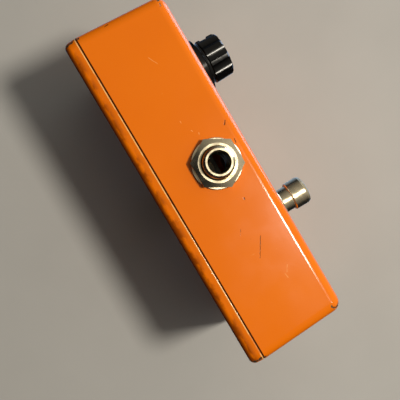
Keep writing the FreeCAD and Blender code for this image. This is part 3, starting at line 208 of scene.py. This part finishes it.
def orange_paint():
    """Glossy orange paint, chipped at the corners, scratched on the sides, with painted shade on the cover
    and at its joint and a painted highlight along the cover's upper edge.
    """
    s = Surface("orange_paint")
    stretches = ((1, 1, 1), (1.3, 0.9, 1.1), (0.8, 1.2, 1.4))
    noises = s.combine(*[s.noise(1.1, 3, stretch=stretch) for stretch in stretches])
    ragged = s.vector("SUBTRACT", noises, (0.5, 0.5, 0.5))
    torn = s.vector("ADD", s.place, s.vector("SCALE", ragged, scale=2.6))
    folded = s.vector("ABSOLUTE", torn)
    half_x, half_y, top = case_high.x, case_high.y, case_high.z

    # corners rubbed to bare metal
    corner_x, corner_y = half_x - 1.2, half_y - 1.2
    bare = s.most(
        s.near((corner_x, corner_y, 0.8), (corner_x, corner_y, 3.0), 0.62, folded, 0.15),
        s.near((corner_x, corner_y, 4.5), (corner_x, corner_y, 5.0), 0.4, folded, 0.2),
        s.near(
            (half_x - 2.4, half_y - 2.4, top - 1.6), (half_x - 2.3, half_y - 2.3, top - 2.4),
            0.55, folded, 0.15,
        ),
    )
    # painted highlight: a pale cream line along the cover's upper edge, broken in places along its length
    height = s.axis("Z")
    above = s.step(height, seam - 0.58, seam - 0.48)
    below = s.step(height, seam - 0.3, seam - 0.22, 1.0, 0.0)
    painted_edge_highlight = s.math("MULTIPLY", above, below)
    painted_edge_highlight = s.math("MULTIPLY", painted_edge_highlight, s.step(s.noise(6.0, 4), 0.36, 0.46, 0.25, 1.0))
    chips = [
        s.near((-half_x + 1.1, 51.6, top - 2.6), (-half_x + 1.1, 52.0, top - 2.2), 0.4, torn, 0.2),
        s.near((-half_x + 1.2, -53.0, top - 3.4), (-half_x + 1.4, -53.6, top - 3.0), 0.5, torn, 0.2),
        s.near((half_x - 1.3, 22.0, top - 1.6), (half_x - 1.3, 23.4, top - 1.7), 0.5, torn, 0.2),
        s.near((12.0, half_y - 1.6, top - 2.2), (13.5, half_y - 1.6, top - 2.2), 0.5, torn, 0.2),
        s.near((-9.0, -half_y + 1.4, top - 2.4), (-11.0, -half_y + 1.4, top - 2.4), 0.5, torn, 0.2),
    ]
    bare = s.most(bare, *chips)

    # scratches and one pit, all dark with dirt
    wander = s.vector("ADD", s.place, s.vector("SCALE", ragged, scale=0.35))
    side = -half_x + 0.6
    marks = s.most(
        s.near((side, -18.0, 17.8), (side, -21.4, 15.6), 0.16, wander),
        s.near((side, -22.8, 22.0), (side, -28.6, 18.4), 0.15, wander),
        s.near((side, -10.5, 23.5), (side, -10.9, 23.4), 0.34, wander),
        s.near((side, -47.6, 5.2), (side, -48.2, 6.6), 0.2, wander),
        s.near((side + 0.4, 11.5, top - 3.8), (side + 0.4, 12.5, top - 3.1), 0.26, wander),
        s.near((side + 0.4, 6.4, top - 3.4), (side + 0.4, 5.2, top - 3.6), 0.2, wander),
        s.near((-half_x + 1.1, half_y - 2.1, 13.4), (-half_x + 1.2, half_y - 1.8, 14.6), 0.3, wander),
        s.near((side, 30.0, 12.5), (side, 26.5, 13.2), 0.1, wander),
    )
    # pale rubs
    rubs = s.most(
        s.near((side, -34.6, 24.6), (side, -36.4, 23.4), 0.22, wander),
        s.near((side, -36.6, 22.6), (side, -38.0, 22.9), 0.16, wander),
        s.near((side, 40.0, 20.0), (side, 37.0, 21.5), 0.12, wander),
        s.near((side, 12.5, 12.0), (side, 11.0, 13.5), 0.12, wander),
        s.near((side, 18.9, 18.6), (side, 18.4, 18.6), 0.2, wander),
        s.near((side, 15.0, 20.1), (side, 14.6, 20.3), 0.18, wander),
        s.near((side, 13.3, 21.7), (side, 12.9, 21.6), 0.2, wander),
    )
    hair = s.noise(1.2, 2, stretch=(0.06, 1.6, 0.5))
    hair = s.math("MULTIPLY", s.step(hair, 0.74, 0.8), s.step(s.noise(14, 2), 0.5, 0.64))
    rubs = s.most(rubs, s.math("MULTIPLY", hair, 0.45))

    # colour
    broad = s.noise(26.0, 3)
    paint = s.mix(broad, rgb(224, 108, 0), rgb(233, 118, 1))
    specks = s.step(s.noise(0.7, 2), 0.72, 0.8)
    paint = s.mix(s.math("MULTIPLY", specks, 0.14), paint, rgb(120, 46, 6))
    # painted shade: the cover darkens to brown towards its outer face, in patches, only near its outer edges
    patchy = s.step(s.noise(2.2, 4, stretch=(1.0, 0.5, 1.0)), 0.36, 0.6)
    painted_cover_shade = s.math("MULTIPLY", patchy, s.step(height, 1.0, 3.6, 0.75, 0.0))
    painted_cover_shade = s.most(painted_cover_shade, s.step(height, 0.3, 1.8, 0.8, 0.0))
    sides = s.vector("ABSOLUTE", s.place)
    rim = s.most(
        s.step(s.axis("X", sides), half_x - 4.0, half_x - 1.5),
        s.step(s.axis("Y", sides), half_y - 4.0, half_y - 1.5),
    )
    # brown of the painted shade on the cover
    paint = s.mix(s.math("MULTIPLY", painted_cover_shade, rim), paint, rgb(100, 36, 4))
    # the outer face is scuffed all over from standing on floors
    scuffs = s.step(s.noise(1.6, 5, stretch=(0.3, 1.4, 1.0)), 0.56, 0.66)
    scuffs = s.math("MULTIPLY", scuffs, s.step(height, 0.02, 0.1, 0.45, 0.0))
    paint = s.mix(scuffs, paint, rgb(96, 60, 34))
    # painted shade and dirt: a dark band along the joint between cover and case
    below = s.step(height, seam + 0.22, seam + 0.42, 1.0, 0.0)
    above = s.step(height, seam - 0.26, seam - 0.18)
    joint_shade_and_dirt = s.math("MULTIPLY", below, above)
    paint = s.mix(s.math("MULTIPLY", joint_shade_and_dirt, 0.92), paint, rgb(46, 22, 8))
    paint = s.mix(s.math("MULTIPLY", rubs, 0.5), paint, rgb(250, 180, 104))
    paint = s.mix(s.math("MULTIPLY", marks, 0.8), paint, rgb(66, 34, 12))
    metal = s.mix(s.noise(0.8, 3), rgb(104, 84, 60), rgb(156, 136, 106))
    # pale cream of the painted highlight along the cover's upper edge
    edge_highlight_cream = s.mix(s.noise(0.6, 2), rgb(250, 214, 150), rgb(236, 160, 70))
    colour = s.mix(bare, paint, metal)
    colour = s.mix(painted_edge_highlight, colour, edge_highlight_cream)

    smudge = s.step(s.noise(9.0, 4), 0.35, 0.75, 0.15, 0.2)
    # the joint's painted shade and dirt, and the bare metal, are also rougher and lose the coat
    roughness = s.math("ADD", smudge, s.math("MULTIPLY", s.most(bare, joint_shade_and_dirt), 0.25), clamp=True)
    peel = s.noise(0.55, 1.5)
    relief = s.bump(peel, 0.005)
    depth = s.math("SUBTRACT", 1.0, s.most(bare, s.math("MULTIPLY", marks, 0.7)))
    relief = s.bump(depth, 0.06, relief)
    s.shader.inputs["Specular IOR Level"].default_value = 0.22
    s.shader.inputs["Coat Roughness"].default_value = 0.13
    return s.set(
        base_color=colour,
        metallic=s.math("MULTIPLY", bare, 0.85),
        roughness=roughness,
        coat_weight=s.math("MULTIPLY", s.math("SUBTRACT", 1.0, s.most(bare, joint_shade_and_dirt)), 0.2),
        normal=relief,
    )


def plated(name, bright, dull, rough=(0.16, 0.32), joint_shade_and_dirt=0.25, relief=0.004):
    """Plated metal, handled and slightly dirty."""
    s = Surface(name)
    cloud = s.noise(2.4, 4)
    colour = s.mix(cloud, dull, bright)
    dirt = s.step(s.noise(0.9, 4), 0.58, 0.72)
    colour = s.mix(s.math("MULTIPLY", dirt, joint_shade_and_dirt), colour, rgb(70, 58, 42))
    scuffs = s.noise(0.25, 2, stretch=(1.0, 0.25, 1.0))
    roughness = s.step(s.noise(1.6, 4), 0.3, 0.75, *rough)
    return s.set(base_color=colour, metallic=1.0, roughness=roughness, normal=s.bump(scuffs, relief))


def moulded(name, colour, tint, rough, relief=0.01, grain=0.4, coat=0.0):
    """Plastic with fine grain and faint colour variation."""
    s = Surface(name)
    shade = s.mix(s.noise(3.0, 3), colour, tint)
    roughness = s.step(s.noise(2.0, 3), 0.3, 0.75, rough * 0.8, min(1.0, rough * 1.3))
    s.shader.inputs["Coat Weight"].default_value = coat
    s.shader.inputs["Coat Roughness"].default_value = 0.06
    return s.set(base_color=shade, roughness=roughness, normal=s.bump(s.noise(grain, 2), relief))


def knob_black():
    """Polished black phenolic with fine hairlines and a little dust."""
    s = Surface("knob_black")
    dust = s.step(s.noise(0.35, 3), 0.66, 0.78)
    colour = s.mix(s.math("MULTIPLY", dust, 0.08), rgb(6, 6, 6), rgb(90, 86, 76))
    roughness = s.step(s.noise(1.5, 4), 0.35, 0.75, 0.16, 0.26)
    hair = s.noise(0.3, 2, stretch=(1.0, 1.0, 0.15))
    s.shader.inputs["Specular IOR Level"].default_value = 0.36
    return s.set(base_color=colour, roughness=roughness, normal=s.bump(hair, 0.003))


def board_green():
    """Green lacquer over copper tracks, with tinned pads."""
    s = Surface("board_green")
    along = s.grid("X", 0.26)
    across = s.grid("Y", 0.21)
    cell = s.noise(5.0, 0)
    tracks = s.math("MULTIPLY", s.step(along, 0.36, 0.4), s.step(cell, 0.48, 0.5))
    tracks = s.most(tracks, s.math("MULTIPLY", s.step(across, 0.38, 0.42), s.step(cell, 0.5, 0.48)))
    colour = s.mix(tracks, rgb(18, 74, 38), rgb(38, 112, 62))
    return s.set(base_color=colour, roughness=0.3, normal=s.bump(tracks, 0.03))


def banded_resistor():
    """Tan lacquer with colour bands across each body, whichever way it lies."""
    s = Surface("resistor_lacquer")
    stripes = s.math("FRACT", s.math("MULTIPLY", s.math("ADD", s.axis("X"), s.axis("Y")), 0.62))
    colour = s.mix(s.noise(2.0, 2), rgb(200, 164, 112), rgb(186, 148, 96))
    for start, band in ((0.1, rgb(120, 52, 20)), (0.45, rgb(30, 24, 22)), (0.75, rgb(190, 52, 20))):
        begins = s.step(stripes, start, start + 0.02)
        ends = s.step(stripes, start + 0.15, start + 0.17, 1, 0)
        colour = s.mix(s.math("MULTIPLY", begins, ends), colour, band)
    return s.set(base_color=colour, roughness=0.35)


def battery_wrap():
    """Printed jacket: a dark body with a copper-coloured end, no lettering."""
    s = Surface("battery_wrap")
    band = mm_box("battery")[1].x - 14.0
    share = s.step(s.axis("X"), band, band + 0.2)
    colour = s.mix(share, rgb(22, 23, 27), rgb(176, 108, 52))
    begins = s.step(s.axis("X"), band - 0.8, band - 0.7)
    ends = s.step(s.axis("X"), band, band + 0.1, 1, 0)
    colour = s.mix(s.math("MULTIPLY", begins, ends), colour, rgb(220, 214, 200))
    colour = s.mix(s.math("MULTIPLY", s.noise(4, 4), 0.15), colour, rgb(90, 84, 76))
    return s.set(base_color=colour, metallic=s.math("MULTIPLY", share, 0.8), roughness=0.32)


# ---------------------------------------------------------------- materials on the CAD nodes

use(orange_paint(), "enclosure", "bottom_cover")
nickel = plated("nickel", rgb(226, 214, 186), rgb(204, 190, 158), (0.2, 0.3), 0.18, 0.002)
use(
    nickel, "output_jack_bushing", "input_jack_bushing", "jack_nuts", "jack_washers", "pot_nut",
    "pot_washer", "footswitch_bushing", "footswitch_top_nut", "footswitch_washer", "footswitch_plunger",
    "footswitch_cap",
)
zinc = plated("zinc", rgb(188, 188, 180), rgb(140, 138, 130), (0.3, 0.5))
use(zinc, "pot_can", "pot_lock_washer", "footswitch_lock_washer", "footswitch_lower_nut", "footswitch_frame",
    "jack_frames", "jack_lock_washers", "pot_bushing", "pot_shaft", "cover_screws")
spring_metal = plated("spring_metal", rgb(214, 204, 176), rgb(170, 158, 128), (0.22, 0.4))
use(spring_metal, "output_tip_spring", "input_tip_spring", "input_ring_spring", "jack_terminals",
    "footswitch_terminals", "pot_terminals", "pot_wiper", "snap_contacts", "battery_terminals")
use(plated("brass", rgb(214, 172, 92), rgb(176, 132, 62), (0.25, 0.42)), "knob_insert")
use(plated("dark_steel", rgb(78, 76, 74), rgb(48, 46, 46), (0.3, 0.5)), "knob_set_screw")
use(knob_black(), "knob")
use(moulded("line_white", rgb(226, 224, 214), rgb(208, 204, 190), 0.5), "knob_index_line")
use(moulded("brown_phenolic", rgb(122, 76, 40), rgb(96, 58, 30), 0.55), "pot_wafer", "jack_insulators")
use(moulded("carbon", rgb(26, 25, 25), rgb(40, 38, 37), 0.6), "pot_track")
use(moulded("black_moulding", rgb(22, 22, 24), rgb(34, 34, 35), 0.5), "pot_rotor", "footswitch_body",
    "op_amps", "transistors")
use(moulded("blue_moulding", rgb(30, 78, 160), rgb(24, 64, 138), 0.42), "trimmer_base")
use(moulded("white_moulding", rgb(226, 222, 208), rgb(206, 202, 188), 0.45), "trimmer_rotor")
use(board_green(), "circuit_board")
use(moulded("black_foam", rgb(28, 28, 29), rgb(44, 43, 42), 0.95, 0.15, 0.5), "board_foam_pad")
use(moulded("blue_sleeve", rgb(24, 34, 84), rgb(32, 44, 102), 0.25, coat=0.3), "electrolytic_capacitors")
use(moulded("red_dip", rgb(150, 44, 22), rgb(122, 34, 18), 0.22, coat=0.5), "film_capacitors")
use(banded_resistor(), "resistors", "diodes")
use(battery_wrap(), "battery")
use(moulded("black_vinyl", rgb(24, 24, 25), rgb(36, 36, 36), 0.42), "battery_snap", "battery_lead_black")
use(moulded("red_vinyl", rgb(170, 22, 16), rgb(148, 18, 14), 0.38), "battery_lead_red")
use(moulded("cream_vinyl", rgb(206, 200, 176), rgb(188, 180, 154), 0.4), "signal_wires")
use(moulded("grey_fibre", rgb(96, 92, 84), rgb(116, 110, 100), 0.85, 0.03, 0.3), "insulation_sheet")

# ---------------------------------------------------------------- the footswitch's return spring

# it is squeezed between the floor of its chamber and the plunger, which the rigid CAD node can't show; it
# is squeezed between the floor of its chamber and the plunger; here it is a plain copy of the CAD node's
# mesh, in zinc, attached to the case in place of the hidden CAD node
spring = bpy.data.objects.new("return_spring", nodes["footswitch_spring"].data.copy())
spring.data.materials.clear()
spring.data.materials.append(zinc)
bpy.context.scene.collection.objects.link(spring)
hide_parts("footswitch_spring")
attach(spring, "case")
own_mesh(spring)

# ---------------------------------------------------------------- stage, lights and camera


def stage_plane(name, centre, along, up, size):
    """A pale square that shows from its front only, so that it never hides the object."""
    along, up = Vector(along) * size / 2, Vector(up) * size / 2
    centre = Vector(centre)
    mesh = bpy.data.meshes.new(name)
    corners = [centre - along - up, centre + along - up, centre + along + up, centre - along + up]
    mesh.from_pydata([tuple(c) for c in corners], [], [(0, 1, 2, 3)])
    plane = bpy.data.objects.new(name, mesh)
    bpy.context.scene.collection.objects.link(plane)
    s = Surface(name)
    colour = s.mix(s.noise(40.0, 3), rgb(168, 167, 165), rgb(180, 179, 177))
    s.set(base_color=colour, roughness=0.7)
    out = s.tree.nodes["Material Output"]
    clear = s.tree.nodes.new("ShaderNodeBsdfTransparent")
    choose = s.tree.nodes.new("ShaderNodeMixShader")
    back = s.tree.nodes.new("ShaderNodeNewGeometry").outputs["Backfacing"]
    s.link(back, choose.inputs[0])
    s.link(s.shader.outputs[0], choose.inputs[1])
    s.link(clear.outputs[0], choose.inputs[2])
    s.link(choose.outputs[0], out.inputs[0])
    mesh.materials.append(s.material)
    plane.visible_shadow = False
    return plane


STAGE_SIZE = 4.0  # metres
TABLE_GAP = 0.0002  # between the far jack and the table plane, in metres

low, high = Vector(cad_box[0]), Vector(cad_box[1])
floor = stage_plane("floor", (0, 0, low.z), (1, 0, 0), (0, 1, 0), STAGE_SIZE)
floor.visible_glossy = False
floor.visible_diffuse = False
table = stage_plane("table", (high.x + TABLE_GAP, 0, 0.3), (0, 0, 1), (0, 1, 0), STAGE_SIZE)
table.visible_glossy = False


def area_light(name, place, target, size, power, colour):
    light = bpy.data.lights.new(name, "AREA")
    light.shape = "DISK"
    light.size = size
    light.energy = power
    light.color = colour
    lamp = bpy.data.objects.new(name, light)
    bpy.context.scene.collection.objects.link(lamp)
    lamp.location = place
    aim = Vector(target) - Vector(place)
    lamp.rotation_euler = aim.to_track_quat("-Z", "Y").to_euler()


middle = (low + high) / 2
area_light("key", (-0.59, -0.12, 0.262), middle, size=0.11, power=3.4, colour=(1.0, 0.93, 0.8))
area_light("cool", (0.1, 0.12, 0.6), middle, size=0.4, power=2.2, colour=(0.62, 0.76, 1.0))

# a dim room: warm over the side that faces the camera, a cool window beyond the knob, dark below
world = bpy.data.worlds.new("studio")
bpy.context.scene.world = world
world.use_nodes = True
room = world.node_tree
sky = room.nodes.new("ShaderNodeTexCoord").outputs["Generated"]
glows = []
for towards, start, power, colour in (
    ((-0.55, 0.0, 0.83), 0.1, 0.62, (0.92, 0.86, 0.74)),
    ((0.75, 0.25, 0.6), 0.6, 0.9, (0.45, 0.66, 1.0)),
):
    facing = room.nodes.new("ShaderNodeVectorMath")
    facing.operation = "DOT_PRODUCT"
    facing.inputs[1].default_value = towards
    room.links.new(sky, facing.inputs[0])
    amount = room.nodes.new("ShaderNodeMapRange")
    for value, name in ((start, "From Min"), (1.0, "From Max"), (0.01, "To Min"), (power, "To Max")):
        amount.inputs[name].default_value = value
    room.links.new(facing.outputs["Value"], amount.inputs["Value"])
    glow = room.nodes.new("ShaderNodeVectorMath")
    glow.operation = "SCALE"
    glow.inputs[0].default_value = colour
    room.links.new(amount.outputs[0], glow.inputs["Scale"])
    glows.append(glow.outputs[0])
both = room.nodes.new("ShaderNodeVectorMath")
both.operation = "ADD"
for glow, socket in zip(glows, both.inputs):
    room.links.new(glow, socket)
room.links.new(both.outputs[0], room.nodes["Background"].inputs["Color"])
bpy.context.scene.view_settings.view_transform = "Standard"

CAMERA_PLACE = Vector((-0.20856, 0.00345, -0.00001))
CAMERA_FORWARD = Vector((0.99704, -0.04275, 0.06552)).normalized()
CAMERA_RIGHT = Vector((-0.07678, -0.50799, 0.85793))  # close to square with forward; made exact below

camera_data = bpy.data.cameras.new("camera")
camera_data.sensor_width = 36.0
camera_data.lens = 54.0
camera_data.clip_start = 0.01
camera = bpy.data.objects.new("camera", camera_data)
bpy.context.scene.collection.objects.link(camera)
up = CAMERA_RIGHT.cross(CAMERA_FORWARD).normalized()
right = CAMERA_FORWARD.cross(up)
turn = Matrix((right, up, -CAMERA_FORWARD)).transposed().to_4x4()
camera.matrix_world = Matrix.Translation(CAMERA_PLACE) @ turn
bpy.context.scene.camera = camera
